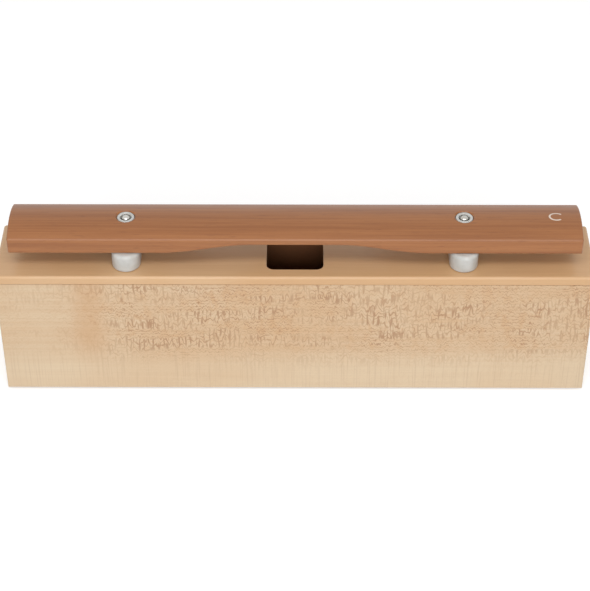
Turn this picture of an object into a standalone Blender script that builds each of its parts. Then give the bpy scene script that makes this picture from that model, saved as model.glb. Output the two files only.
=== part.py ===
"""A resonator bar: one tuned hardwood bar floating over a box resonator of its own.

Metres, +Z up. X runs along the bar and -Y is the front. The origin lies under the middle of the
box, on the surface that the feet stand on.
"""

import math

import bmesh
import bpy

# Fits
FIT_GAP = 0.0003
CUT_PAST = 0.004

# Box resonator
BOX_LENGTH = 0.400
BOX_WIDTH = 0.058
BOX_HEIGHT = 0.099
LONG_WALL = 0.008
END_WALL = 0.008
TOP_THICKNESS = 0.006
BOTTOM_THICKNESS = 0.006
REBATE_DEPTH = 0.004
LID_EDGE_RADIUS = 0.0025
LID_END_RADIUS = 0.0016
UPRIGHT_EDGE_RADIUS = 0.0012
FOOT_EDGE_RADIUS = 0.0015

# Sound hole under the middle of the bar
SOUND_HOLE_LENGTH = 0.038
SOUND_HOLE_WIDTH = 0.040
SOUND_HOLE_CORNER = 0.005
SOUND_HOLE_CHAMFER = 0.0006

# Feet
FOOT_DIAMETER = 0.012
FOOT_HEIGHT = 0.0015
FOOT_FROM_END = 0.020
FOOT_FROM_FACE = 0.013
FOOT_RIM = 0.0004

# Floating suspension: guide pins, the blocks that hold them, and soft saddles
PIN_SPACING = 0.225
PIN_DIAMETER = 0.0052
PIN_DOME = 0.0012
PIN_BITE = 0.012
PIN_POINT = 0.0012
PIN_PLAY = 0.0012
BLOCK_LENGTH = 0.024
BLOCK_HEIGHT = 0.016
BLOCK_CHAMFER = 0.0015
SADDLE_WIDTH = 0.019
SADDLE_HEIGHT = 0.0125
SADDLE_OVERHANG = 0.0041
SADDLE_CROWN_RADIUS = 0.0026
SADDLE_BASE_RADIUS = 0.0008

# Tone bar, crowned on top and undercut below
BAR_LENGTH = 0.380
BAR_WIDTH = 0.040
BAR_SIDE = 0.011
BAR_CROWN = 0.005
BAR_ARRIS = 0.0008
ARCH_LENGTH = 0.180
ARCH_FLAT = 0.056
ARCH_DEPTH = 0.0069
BUSH_WALL = 0.0020
BUSH_RECESS = 0.0006
BUSH_LIP = 0.0006
BAR_HOLE_CHAMFER = 0.0010

# Fineness of curved faces
ROUND_STEPS = 40
CORNER_STEPS = 8
CROWN_STEPS = 24
ARCH_STEPS = 22
EDGE_STEPS = 3

# Heights, from the surface up
BOX_BASE = FOOT_HEIGHT + FIT_GAP
BOX_TOP = BOX_BASE + BOX_HEIGHT
LID_UNDERSIDE = BOX_TOP - TOP_THICKNESS
WALL_TOP = LID_UNDERSIDE - FIT_GAP
SADDLE_BASE = BOX_TOP + FIT_GAP
BAR_UNDERSIDE = SADDLE_BASE + SADDLE_HEIGHT + FIT_GAP
BAR_TOP = BAR_UNDERSIDE + BAR_SIDE + BAR_CROWN

# Half sizes of the space inside the walls, and of the rebates that go round it
INSIDE_X = BOX_LENGTH / 2 - END_WALL
INSIDE_Y = BOX_WIDTH / 2 - LONG_WALL
REBATE_X = INSIDE_X + REBATE_DEPTH
REBATE_Y = INSIDE_Y + REBATE_DEPTH

# Radii that fit round the pin, from the inside out
PIN_RADIUS = PIN_DIAMETER / 2
BUSH_INNER = PIN_RADIUS + PIN_PLAY
BUSH_OUTER = BUSH_INNER + BUSH_WALL
BAR_HOLE = BUSH_OUTER + FIT_GAP

SIDES = {"left": -1, "right": 1}
FACES = {"front": -1, "rear": 1}


def clear_scene():
    for obj in list(bpy.data.objects):
        bpy.data.objects.remove(obj, do_unlink=True)


def new_collection(name):
    collection = bpy.data.collections.new(name)
    bpy.context.scene.collection.children.link(collection)
    return collection


def linear(*srgb):
    """A colour given as it looks on a screen, 0 to 255, as the linear value a shader takes."""
    return tuple(((c / 255 + 0.055) / 1.055) ** 2.4 for c in srgb)


def new_material(name, colour, roughness, metallic=0.0, coat=0.0):
    material = bpy.data.materials.new(name)
    material.use_nodes = True
    shader = material.node_tree.nodes["Principled BSDF"]
    shader.inputs["Base Color"].default_value = (*linear(*colour), 1)
    shader.inputs["Roughness"].default_value = roughness
    shader.inputs["Metallic"].default_value = metallic
    shader.inputs["Coat Weight"].default_value = coat
    return material


def add_part(name, mesh, material, parent, place):
    """An object of the part at a place in the world, held by the empty of its body."""
    mesh.materials.append(material)
    mesh.shade_smooth()
    mesh.set_sharp_from_angle(angle=math.radians(30))
    part = bpy.data.objects.new(name, mesh)
    part.parent = parent
    part.location = [p - q for p, q in zip(place, parent.location)]
    PARTS.objects.link(part)
    return part


def add_cutter(name, mesh, place):
    cutter = bpy.data.objects.new(name, mesh)
    cutter.location = place
    cutter.hide_render = True
    cutter.display_type = "WIRE"
    CUTTERS.objects.link(cutter)
    return cutter


def add_empty(name, place):
    empty = bpy.data.objects.new(name, None)
    empty.location = place
    PARTS.objects.link(empty)
    return empty


def cut(part, *cutters):
    for cutter in cutters:
        boolean = part.modifiers.new(cutter.name, "BOOLEAN")
        boolean.operation = "DIFFERENCE"
        boolean.solver = "EXACT"
        boolean.object = cutter


def mesh_from(bm, name):
    bmesh.ops.recalc_face_normals(bm, faces=bm.faces)
    mesh = bpy.data.meshes.new(name)
    bm.to_mesh(mesh)
    bm.free()
    return mesh


def slab_mesh(name, size):
    """A box of this size round its own middle."""
    bm = bmesh.new()
    bmesh.ops.create_cube(bm, size=1)
    bmesh.ops.scale(bm, vec=size, verts=bm.verts)
    return mesh_from(bm, name)


def span(low, high):
    """The size and the middle of the box between two corners."""
    return [b - a for a, b in zip(low, high)], [(a + b) / 2 for a, b in zip(low, high)]


def rounded_outline(half_x, half_y, radius):
    """Corner points of a rectangle with round corners, anticlockwise."""
    points = []
    for quarter in range(4):
        side_x = 1 if quarter in (0, 3) else -1
        side_y = 1 if quarter < 2 else -1
        for step in range(CORNER_STEPS + 1):
            angle = (quarter + step / CORNER_STEPS) * math.pi / 2
            x = side_x * (half_x - radius) + radius * math.cos(angle)
            y = side_y * (half_y - radius) + radius * math.sin(angle)
            if not points or math.dist(points[-1], (x, y)) > FIT_GAP / 10:
                points.append((x, y))
    return points


def prism_mesh(name, outline, height, flare=0.0):
    """A flat outline raised to a height. A flare widens one more step on top of it by as much."""
    bm = bmesh.new()
    base = bm.faces.new([bm.verts.new((x, y, 0)) for x, y in outline])
    half_x = max(x for x, _ in outline)
    half_y = max(y for _, y in outline)
    steps = [(height, 1, 1)]
    if flare:
        steps.append((flare, 1 + flare / half_x, 1 + flare / half_y))
    top = base
    for rise, scale_x, scale_y in steps:
        raised = bmesh.ops.extrude_face_region(bm, geom=[top])["geom"]
        if top is not base:
            bm.faces.remove(top)
        corners = [v for v in raised if isinstance(v, bmesh.types.BMVert)]
        top = next(f for f in raised if isinstance(f, bmesh.types.BMFace))
        bmesh.ops.translate(bm, vec=(0, 0, rise), verts=corners)
        bmesh.ops.scale(bm, vec=(scale_x, scale_y, 1), verts=corners)
    return mesh_from(bm, name)


def turned_mesh(name, profile, closed=False):
    """A profile of radius and height, listed down its outer side, turned about Z."""
    mesh = bpy.data.meshes.new(name)
    count = len(profile)
    edges = [(i, (i + 1) % count) for i in range(count if closed else count - 1)]
    mesh.from_pydata([(radius, 0, height) for radius, height in profile], edges, [])
    return mesh


def turn(obj):
    screw = obj.modifiers.new("turn", "SCREW")
    screw.steps = ROUND_STEPS
    screw.render_steps = ROUND_STEPS
    screw.use_merge_vertices = True
    screw.merge_threshold = FIT_GAP / 100
    return obj


def arc(centre_x, centre_z, radius, start, end, steps):
    """Points on an arc in the plane of a profile, with the angles in degrees."""
    angles = [math.radians(start + (end - start) * i / steps) for i in range(steps + 1)]
    return [(centre_x + radius * math.cos(a), centre_z + radius * math.sin(a)) for a in angles]


def round_edges(part, radius_of):
    """Rounds each edge by the radius that radius_of gives for its middle and direction."""
    mesh = part.data
    radii = []
    for edge in mesh.edges:
        a, b = (mesh.vertices[i].co for i in edge.vertices)
        radii.append(radius_of((a + b) / 2, (b - a).normalized()))
    weights = mesh.attributes.new("bevel_weight_edge", "FLOAT", "EDGE")
    weights.data.foreach_set("value", [radius / max(radii) for radius in radii])
    bevel = part.modifiers.new("round_edges", "BEVEL")
    bevel.limit_method = "WEIGHT"
    bevel.width = max(radii)
    bevel.segments = EDGE_STEPS
    bevel.use_clamp_overlap = True


def make_box_cutters():
    """The spaces that the walls share: the bottom's rebate, the ends' rebates, hole and bores."""
    cutters = {}
    reach_z = BOX_BASE + BOTTOM_THICKNESS + FIT_GAP
    size, middle = span((-REBATE_X, -REBATE_Y, BOX_BASE - CUT_PAST), (REBATE_X, REBATE_Y, reach_z))
    cutters["bottom"] = add_cutter("bottom_rebate", slab_mesh("bottom_rebate", size), middle)
    for side, sign in SIDES.items():
        inner = sign * (INSIDE_X - FIT_GAP)
        outer = sign * (BOX_LENGTH / 2 + CUT_PAST)
        low = (min(inner, outer), -REBATE_Y, BOX_BASE - CUT_PAST)
        high = (max(inner, outer), REBATE_Y, WALL_TOP + CUT_PAST)
        size, middle = span(low, high)
        name = side + "_end_rebate"
        cutters[side + "_end"] = add_cutter(name, slab_mesh(name, size), middle)

    half_x, half_y = SOUND_HOLE_LENGTH / 2, SOUND_HOLE_WIDTH / 2
    outline = rounded_outline(half_x, half_y, min(SOUND_HOLE_CORNER, half_x, half_y))
    depth = CUT_PAST + TOP_THICKNESS - SOUND_HOLE_CHAMFER
    mesh = prism_mesh("sound_hole", outline, depth, flare=SOUND_HOLE_CHAMFER + CUT_PAST)
    cutters["sound_hole"] = add_cutter("sound_hole", mesh, (0, 0, LID_UNDERSIDE - CUT_PAST))

    low = WALL_TOP - PIN_BITE - FIT_GAP
    bore = PIN_RADIUS + FIT_GAP
    profile = [(0, BAR_UNDERSIDE), (bore, BAR_UNDERSIDE), (bore, low), (0, low)]
    for side, sign in SIDES.items():
        mesh = turned_mesh(side + "_pin_bore", profile)
        place = (sign * PIN_SPACING / 2, 0, 0)
        cutters[side + "_bore"] = turn(add_cutter(side + "_pin_bore", mesh, place))
    return cutters


def make_top_panel(wood, body, cutters):
    """The lid over all four walls, with the sound hole and the bores for the pins."""
    size = (BOX_LENGTH, BOX_WIDTH, TOP_THICKNESS)
    place = (0, 0, LID_UNDERSIDE + TOP_THICKNESS / 2)
    panel = add_part("top_panel", slab_mesh("top_panel", size), wood, body, place)

    def radius_of(middle, direction):
        if abs(direction.z) > 0.5:
            return UPRIGHT_EDGE_RADIUS
        if middle.z < 0:
            return 0
        return LID_EDGE_RADIUS if abs(direction.x) > 0.5 else LID_END_RADIUS

    round_edges(panel, radius_of)
    cut(panel, cutters["sound_hole"], cutters["left_bore"], cutters["right_bore"])


def make_long_wall(face, sign, wood, body, cutters):
    """A front or rear wall, rebated inside for the bottom and for both ends."""
    size = (BOX_LENGTH, LONG_WALL, WALL_TOP - BOX_BASE)
    place = (0, sign * (BOX_WIDTH - LONG_WALL) / 2, (WALL_TOP + BOX_BASE) / 2)
    name = face + "_panel"
    wall = add_part(name, slab_mesh(name, size), wood, body, place)

    def radius_of(middle, direction):
        if middle.y * sign < LONG_WALL / 4:
            return 0
        if abs(direction.z) > 0.5:
            return UPRIGHT_EDGE_RADIUS
        return FOOT_EDGE_RADIUS if middle.z < 0 else 0

    round_edges(wall, radius_of)
    cut(wall, cutters["bottom"], cutters["left_end"], cutters["right_end"])


def make_end_wall(side, sign, wood, body, cutters):
    """An end that sits in the long walls' rebates and is rebated itself for the bottom."""
    size = (END_WALL, 2 * (REBATE_Y - FIT_GAP), WALL_TOP - BOX_BASE)
    place = (sign * (BOX_LENGTH - END_WALL) / 2, 0, (WALL_TOP + BOX_BASE) / 2)
    name = side + "_end_panel"
    wall = add_part(name, slab_mesh(name, size), wood, body, place)

    def radius_of(middle, direction):
        outer = middle.x * sign > END_WALL / 4
        return FOOT_EDGE_RADIUS if outer and middle.z < 0 and abs(direction.y) > 0.5 else 0

    round_edges(wall, radius_of)
    cut(wall, cutters["bottom"])


def make_bottom_panel(wood, body):
    """The bottom board, let in flush between the walls."""
    size = (2 * (REBATE_X - FIT_GAP), 2 * (REBATE_Y - FIT_GAP), BOTTOM_THICKNESS)
    place = (0, 0, BOX_BASE + BOTTOM_THICKNESS / 2)
    add_part("bottom_panel", slab_mesh("bottom_panel", size), wood, body, place)


def make_pin_block(side, sign, wood, body, cutters):
    """A hardwood block glued under the lid from wall to wall, which holds a pin."""
    size = (BLOCK_LENGTH, 2 * (INSIDE_Y - FIT_GAP), BLOCK_HEIGHT)
    place = (sign * PIN_SPACING / 2, 0, WALL_TOP - BLOCK_HEIGHT / 2)
    name = side + "_pin_block"
    block = add_part(name, slab_mesh(name, size), wood, body, place)

    def radius_of(middle, direction):
        return BLOCK_CHAMFER if middle.z < 0 and abs(direction.y) > 0.5 else 0

    round_edges(block, radius_of)
    cut(block, cutters[side + "_bore"])


def make_guide_pin(side, sign, metal, body):
    """A plated pin with a domed top, level with the crown of the bar."""
    low = WALL_TOP - PIN_BITE
    shoulder = BAR_TOP - PIN_DOME
    dome_radius = (PIN_RADIUS**2 + PIN_DOME**2) / (2 * PIN_DOME)
    edge = math.degrees(math.acos(PIN_RADIUS / dome_radius))
    dome = arc(0, BAR_TOP - dome_radius, dome_radius, 90, edge, CORNER_STEPS)
    profile = [(0, BAR_TOP), *dome[1:-1], (PIN_RADIUS, shoulder)]
    profile += [(PIN_RADIUS, low + PIN_POINT), (PIN_RADIUS - PIN_POINT / 2, low), (0, low)]
    name = side + "_guide_pin"
    mesh = turned_mesh(name, profile)
    turn(add_part(name, mesh, metal, body, (sign * PIN_SPACING / 2, 0, 0)))


def make_saddle(side, sign, soft, body, cutters):
    """An oblong soft pad across the box at a node of the bar, with the pin through its middle."""
    half_x = SADDLE_WIDTH / 2
    half_y = BAR_WIDTH / 2 + SADDLE_OVERHANG
    outline = rounded_outline(half_x, half_y, min(half_x, half_y))
    name = side + "_saddle"
    mesh = prism_mesh(name, outline, SADDLE_HEIGHT)
    saddle = add_part(name, mesh, soft, body, (sign * PIN_SPACING / 2, 0, SADDLE_BASE))

    def radius_of(middle, direction):
        if abs(direction.z) > 0.5:
            return 0
        return SADDLE_CROWN_RADIUS if middle.z > SADDLE_HEIGHT / 2 else SADDLE_BASE_RADIUS

    round_edges(saddle, radius_of)
    cut(saddle, cutters[side + "_bore"])


def make_foot(name, place, rubber, body):
    """A thin round foot stuck under the bottom board."""
    radius = FOOT_DIAMETER / 2
    rim = arc(radius - FOOT_RIM, FOOT_RIM, FOOT_RIM, 0, -90, EDGE_STEPS)
    profile = [(0, FOOT_HEIGHT), (radius, FOOT_HEIGHT), *rim, (0, 0)]
    turn(add_part(name, turned_mesh(name, profile), rubber, body, place))


def bar_section():
    """The bar's section across its width: flat below, upright sides, and a crown on top."""
    half = BAR_WIDTH / 2
    crown_radius = (half**2 + BAR_CROWN**2) / (2 * BAR_CROWN)
    centre = BAR_SIDE + BAR_CROWN - crown_radius
    edge = math.degrees(math.asin(half / crown_radius))
    crown = arc(0, centre, crown_radius, 90 - edge, 90 + edge, CROWN_STEPS)
    return [(-half, 0), (half, 0), *crown]


def arch_height(x):
    """Height of the tuned undercut above the underside: level in the middle, easing out."""
    reach = (ARCH_LENGTH - ARCH_FLAT) / 2
    along = min(max((ARCH_LENGTH / 2 - abs(x)) / reach, 0), 1)
    return (ARCH_DEPTH + FIT_GAP) * (1 - math.cos(math.pi * along)) / 2 - FIT_GAP


def arch_outline():
    """The undercut seen from the front, closed below the bar."""
    reach = (ARCH_LENGTH - ARCH_FLAT) / 2
    run = [ARCH_FLAT / 2 + reach * i / ARCH_STEPS for i in range(ARCH_STEPS + 1)]
    xs = [-x for x in reversed(run)] + run
    below = -FIT_GAP - CUT_PAST
    return [(x, arch_height(x)) for x in xs] + [(run[-1], below), (-run[-1], below)]


def extruded(name, outline, depth, turn_to):
    """A flat curve with a thickness, laid along one axis of the bar and made a mesh."""
    curve = bpy.data.curves.new(name, "CURVE")
    curve.dimensions = "2D"
    curve.fill_mode = "BOTH"
    curve.extrude = depth / 2
    spline = curve.splines.new("POLY")
    spline.points.add(len(outline) - 1)
    for point, (across, up) in zip(spline.points, outline):
        point.co = (across, up, 0, 1)
    spline.use_cyclic_u = True
    guide = bpy.data.objects.new(name, curve)
    bpy.context.scene.collection.objects.link(guide)
    bpy.context.view_layer.update()
    evaluated = guide.evaluated_get(bpy.context.evaluated_depsgraph_get())
    bm = bmesh.new()
    bm.from_mesh(bpy.data.meshes.new_from_object(evaluated))
    bpy.data.objects.remove(guide, do_unlink=True)
    bmesh.ops.remove_doubles(bm, verts=bm.verts, dist=FIT_GAP / 100)
    bmesh.ops.dissolve_limit(bm, angle_limit=math.radians(0.2), verts=bm.verts, edges=bm.edges)
    for vertex in bm.verts:
        vertex.co = turn_to(vertex.co)
    return mesh_from(bm, name)


def make_tone_bar(wood, body):
    """The bar: a crowned section run along X, undercut in the middle and bored at its nodes."""
    mesh = extruded("tone_bar", bar_section(), BAR_LENGTH, lambda p: (p.z, p.x, p.y))
    bar = add_part("tone_bar", mesh, wood, body, (0, 0, BAR_UNDERSIDE))
    depth = BAR_WIDTH + 2 * CUT_PAST
    mesh = extruded("arch", arch_outline(), depth, lambda p: (p.x, -p.z, p.y))
    cut(bar, add_cutter("arch", mesh, (0, 0, BAR_UNDERSIDE)))

    arris = bar.modifiers.new("arris", "BEVEL")
    arris.limit_method = "ANGLE"
    arris.angle_limit = math.radians(30)
    arris.width = BAR_ARRIS
    arris.segments = EDGE_STEPS
    arris.use_clamp_overlap = False

    thickness = BAR_SIDE + BAR_CROWN
    wide = BAR_HOLE + BAR_HOLE_CHAMFER + CUT_PAST
    shoulder = thickness - BAR_HOLE_CHAMFER
    profile = [(0, thickness + CUT_PAST), (wide, thickness + CUT_PAST), (BAR_HOLE, shoulder)]
    profile += [(BAR_HOLE, -CUT_PAST), (0, -CUT_PAST)]
    for side, sign in SIDES.items():
        name = side + "_bar_hole"
        place = (sign * PIN_SPACING / 2, 0, BAR_UNDERSIDE)
        cut(bar, turn(add_cutter(name, turned_mesh(name, profile), place)))


def make_bush(side, sign, soft, body):
    """A soft sleeve in the bar's hole, wide enough to leave the pin free in it."""
    low = BAR_UNDERSIDE + FIT_GAP
    high = BAR_TOP - BUSH_RECESS
    lip = min(BUSH_LIP, BUSH_WALL / 3)
    outer = arc(BUSH_OUTER - lip, high - lip, lip, 90, 0, EDGE_STEPS)
    inner = arc(BUSH_INNER + lip, high - lip, lip, 180, 90, EDGE_STEPS)
    profile = [*outer, (BUSH_OUTER, low), (BUSH_INNER, low), *inner]
    name = side + "_bush"
    mesh = turned_mesh(name, profile, closed=True)
    turn(add_part(name, mesh, soft, body, (sign * PIN_SPACING / 2, 0, 0)))


def main():
    pale_wood = new_material("pale_wood", (208, 181, 150), 0.42, coat=0.2)
    red_wood = new_material("red_wood", (158, 110, 80), 0.36, coat=0.3)
    silicone = new_material("silicone", (214, 213, 208), 0.38)
    plated_steel = new_material("plated_steel", (205, 202, 196), 0.22, metallic=1.0)
    rubber = new_material("rubber", (60, 58, 56), 0.7)

    box = add_empty("box_body", (0, 0, 0))
    bar = add_empty("bar_body", (0, 0, BAR_UNDERSIDE))
    cutters = make_box_cutters()

    make_top_panel(pale_wood, box, cutters)
    make_bottom_panel(pale_wood, box)
    for face, sign in FACES.items():
        make_long_wall(face, sign, pale_wood, box, cutters)
    for side, sign in SIDES.items():
        make_end_wall(side, sign, pale_wood, box, cutters)
        make_pin_block(side, sign, pale_wood, box, cutters)
        make_saddle(side, sign, silicone, box, cutters)
        make_guide_pin(side, sign, plated_steel, box)
        make_bush(side, sign, silicone, bar)
    for face, face_sign in FACES.items():
        for side, side_sign in SIDES.items():
            x = side_sign * (BOX_LENGTH / 2 - FOOT_FROM_END)
            y = face_sign * (BOX_WIDTH / 2 - FOOT_FROM_FACE)
            make_foot(f"{face}_{side}_foot", (x, y, 0), rubber, box)
    make_tone_bar(red_wood, bar)


clear_scene()
PARTS = new_collection("resonator_bar")
CUTTERS = new_collection("cutters")
main()
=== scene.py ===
"""The looks of a resonator bar: a tuned hardwood bar floating over a box resonator of its own.

Metres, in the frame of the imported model: X along the bar, -Y the front, +Z up.
"""

import logging
import math
from collections.abc import Iterable
from dataclasses import dataclass, field
from enum import Enum
from typing import NamedTuple

import bmesh
import bpy
from mathutils import Matrix, Vector


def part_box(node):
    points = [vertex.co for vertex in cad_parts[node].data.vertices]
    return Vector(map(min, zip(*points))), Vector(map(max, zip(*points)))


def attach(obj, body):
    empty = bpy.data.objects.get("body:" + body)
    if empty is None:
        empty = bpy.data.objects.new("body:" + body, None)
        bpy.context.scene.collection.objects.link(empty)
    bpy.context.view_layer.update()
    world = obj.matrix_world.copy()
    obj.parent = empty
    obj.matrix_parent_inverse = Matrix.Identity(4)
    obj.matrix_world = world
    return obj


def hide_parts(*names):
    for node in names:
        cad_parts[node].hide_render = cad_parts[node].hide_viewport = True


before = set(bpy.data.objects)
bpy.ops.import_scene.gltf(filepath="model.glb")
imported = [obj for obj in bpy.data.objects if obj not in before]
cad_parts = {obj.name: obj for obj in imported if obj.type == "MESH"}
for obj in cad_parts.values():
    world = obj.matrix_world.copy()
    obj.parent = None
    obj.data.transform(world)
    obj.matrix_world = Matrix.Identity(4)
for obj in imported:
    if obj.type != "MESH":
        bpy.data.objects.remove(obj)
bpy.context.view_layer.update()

log = logging.getLogger("resonator_bar")

Point = tuple[float, float, float]
Colour = tuple[float, float, float, float]
Range = tuple[float, float]
Outline = list[tuple[float, float]]
Socket = bpy.types.NodeSocket
Value = Socket | float | tuple
Layer = tuple[Value, float, Colour]

BOX_BODY = "box"
BAR_BODY = "bar"
SIDES = ("left", "right")
FEET = ("front_left_foot", "front_right_foot", "rear_left_foot", "rear_right_foot")
WELD = 1e-6
CUT_PAST = 0.004
RUNNING_GAP = 0.0003
SMOOTH_BELOW = math.radians(35)
WHITE = (1.0, 1.0, 1.0, 1.0)

SHADER = "ShaderNodeTree"
GEOMETRY = "GeometryNodeTree"
VECTOR = "NodeSocketVector"
SOCKET_FOR = {float: "NodeSocketFloat", int: "NodeSocketInt"}


class Grain(Enum):
    """The way a board's fibres run, as the turn that brings them to X."""

    ALONG_X = (0.0, 0.0, 0.0)
    ALONG_Y = (0.0, 0.0, math.pi / 2)
    ALONG_Z = (0.0, math.pi / 2, 0.0)


def screen(red: float, green: float, blue: float) -> Colour:
    """A colour as a screen shows it, made linear for a shader.

    Args:
        red: Red, from 0 to 255.
        green: Green, from 0 to 255.
        blue: Blue, from 0 to 255.

    Returns:
        The linear colour with full alpha.
    """
    parts = [((c / 255 + 0.055) / 1.055) ** 2.4 for c in (red, green, blue)]
    return (parts[0], parts[1], parts[2], 1.0)


# Node trees


class Graph:
    """Adds and links nodes in one tree, for shaders and geometry alike."""

    def __init__(self, tree: bpy.types.NodeTree) -> None:
        """Takes the tree that the nodes go into."""
        self.tree = tree

    def feed(self, node: bpy.types.Node, inputs: dict) -> None:
        """Links sockets to a node's inputs and sets plain values.

        Args:
            node: The node.
            inputs: Values or sockets by input name or index.
        """
        for key, value in inputs.items():
            if isinstance(value, Socket):
                self.tree.links.new(value, node.inputs[key])
            else:
                node.inputs[key].default_value = value

    def add(self, kind: str, inputs: dict | None = None, **settings: object) -> bpy.types.Node:
        """Adds a node.

        Args:
            kind: The node's type name.
            inputs: Values or sockets by input name or index.
            **settings: Properties of the node itself.

        Returns:
            The new node.
        """
        node = self.tree.nodes.new(kind)
        for name, value in settings.items():
            setattr(node, name, value)
        self.feed(node, inputs or {})
        return node

    def group(self, tree: bpy.types.NodeTree, inputs: dict[str, Value]) -> bpy.types.Node:
        """Places a shared group with its own values."""
        return self.add("ShaderNodeGroup", inputs, node_tree=tree)

    def math(self, operation: str, *values: Value) -> Socket:
        """The result of one sum on up to three values."""
        return self.add("ShaderNodeMath", dict(enumerate(values)), operation=operation).outputs[0]

    def times(self, first: Value, *others: Value) -> Socket:
        """The product of all the values.

        Args:
            first: The first value.
            *others: The values that it is multiplied by, one after another.

        Returns:
            The product.
        """
        for other in others:
            first = self.math("MULTIPLY", first, other)
        return first

    def rest(self, value: Value) -> Socket:
        """What is left of 1."""
        return self.math("SUBTRACT", 1.0, value)

    def scale(self, place: Value, factors: Point) -> Socket:
        """A vector with each axis multiplied by a factor of its own."""
        inputs = {0: place, 1: factors}
        return self.add("ShaderNodeVectorMath", inputs, operation="MULTIPLY").outputs[0]

    def spread(
        self,
        value: Value,
        low: Value,
        high: Value,
        to_low: float = 0.0,
        to_high: float = 1.0,
        eased: bool = True,
    ) -> Socket:
        """Moves a value from one range to another and clamps it.

        Args:
            value: The value to move.
            low: Where the old range starts.
            high: Where the old range ends.
            to_low: Where the new range starts.
            to_high: Where the new range ends.
            eased: Whether the ends are eased.

        Returns:
            The moved value.
        """
        inputs = {0: value, 1: low, 2: high, 3: to_low, 4: to_high}
        how = "SMOOTHSTEP" if eased else "LINEAR"
        return self.add("ShaderNodeMapRange", inputs, interpolation_type=how).outputs[0]

    def mix(self, share: Value, first: Value, second: Value) -> Socket:
        """A colour between two colours."""
        return self.add("ShaderNodeMix", {0: share, 6: first, 7: second}, data_type="RGBA").outputs[2]

    def layer(self, colour: Value, layers: Iterable[Layer]) -> Value:
        """Lays colours over a colour.

        Args:
            colour: The colour at the bottom.
            layers: For each colour its mask, its greatest share and the colour itself.

        Returns:
            The colour on top.
        """
        for mask, share, over in layers:
            colour = self.mix(self.times(mask, share), colour, over)
        return colour

    def axes(self, vector: Socket) -> list[Socket]:
        """The three parts of a vector."""
        return list(self.add("ShaderNodeSeparateXYZ", {0: vector}).outputs)

    def join(self, *parts: Value) -> Socket:
        """A vector from its parts."""
        return self.add("ShaderNodeCombineXYZ", dict(enumerate(parts))).outputs[0]

    def squeeze(self, parts: Iterable[Value], sizes: Iterable[Value]) -> Socket:
        """A place measured in a pattern's own sizes."""
        return self.join(*(self.math("DIVIDE", part, size) for part, size in zip(parts, sizes)))

    def dress(self, geometry: Socket, finish: Socket) -> Socket:
        """Real geometry in its finish, which is how a geometry tree ends."""
        real = self.add("GeometryNodeRealizeInstances", {0: geometry}).outputs[0]
        return self.add("GeometryNodeSetMaterial", {0: real, "Material": finish}).outputs[0]

    def noise(self, place: Value, scale: float, detail: float = 3.0, rough: float = 0.5) -> Socket:
        """Smooth noise about one half."""
        inputs = {"Vector": place, "Scale": scale, "Detail": detail, "Roughness": rough}
        return self.add("ShaderNodeTexNoise", inputs).outputs["Fac"]

    def swing(self, place: Value, scale: float, detail: float = 3.0, rough: float = 0.5) -> Socket:
        """Smooth noise about zero."""
        return self.math("SUBTRACT", self.noise(place, scale, detail, rough), 0.5)


class Group(NamedTuple):
    """A node group while it is built."""

    tree: bpy.types.NodeTree
    graph: Graph
    given: dict[str, Socket]
    result: bpy.types.Node


def new_group(
    name: str, kind: str, inputs: dict, outputs: Iterable[str], out_type: str = "NodeSocketFloat"
) -> Group:
    """Starts a node group with named sockets.

    Args:
        name: The group's name.
        kind: The tree's type name.
        inputs: By name, a number to start from, or the type of a socket that has none.
        outputs: The names of the outputs.
        out_type: The outputs' socket type.

    Returns:
        The group, with the sockets of its inputs by name.
    """
    tree = bpy.data.node_groups.new(name, kind)
    for label, start in inputs.items():
        socket_type = SOCKET_FOR.get(type(start), start)
        socket = tree.interface.new_socket(label, in_out="INPUT", socket_type=socket_type)
        if type(start) in SOCKET_FOR:
            socket.default_value = start
    for label in outputs:
        tree.interface.new_socket(label, in_out="OUTPUT", socket_type=out_type)
    graph = Graph(tree)
    given = graph.add("NodeGroupInput")
    result = graph.add("NodeGroupOutput")
    return Group(tree, graph, {socket.name: socket for socket in given.outputs if socket.name}, result)


# Shader effects that several finishes share


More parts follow.
